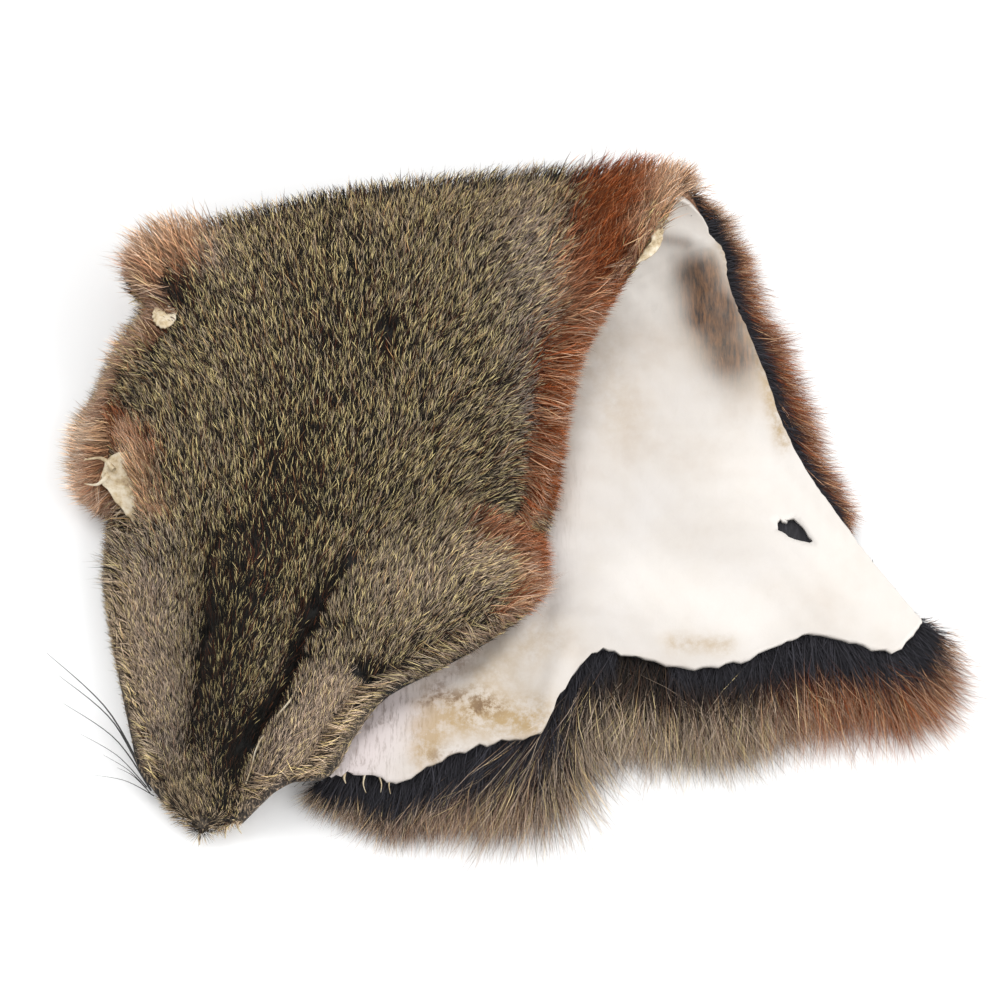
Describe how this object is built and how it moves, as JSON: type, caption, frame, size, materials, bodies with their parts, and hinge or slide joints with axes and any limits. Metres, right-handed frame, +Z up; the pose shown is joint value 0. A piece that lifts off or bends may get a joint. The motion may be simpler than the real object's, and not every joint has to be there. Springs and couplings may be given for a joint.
{
  "type": "squirrel skin",
  "caption": "Small fur skin with head and leg stubs, tanned with the fur on, folded once across the back and laid flat.",
  "frame": {"origin": "on the resting surface, under the middle of the bounding box", "axes": "+Z up off the surface, +Y towards the fold, +X towards the splayed rump half"},
  "size_m": [0.179, 0.1532, 0.0225],
  "materials": {
    "tanned_hide": "matte",
    "grizzled_fur": "matte",
    "rump_fur": "matte",
    "rust_fur": "matte"
  },
  "bodies": {
    "root": {"hide": "tanned_hide", "coat": "grizzled_fur", "fringe_rump": "rump_fur", "fringe_rump_flank": "rust_fur", "fringe_back_flank": "rust_fur", "fringe_left_flank": "rust_fur"}
  },
  "joints": []
}
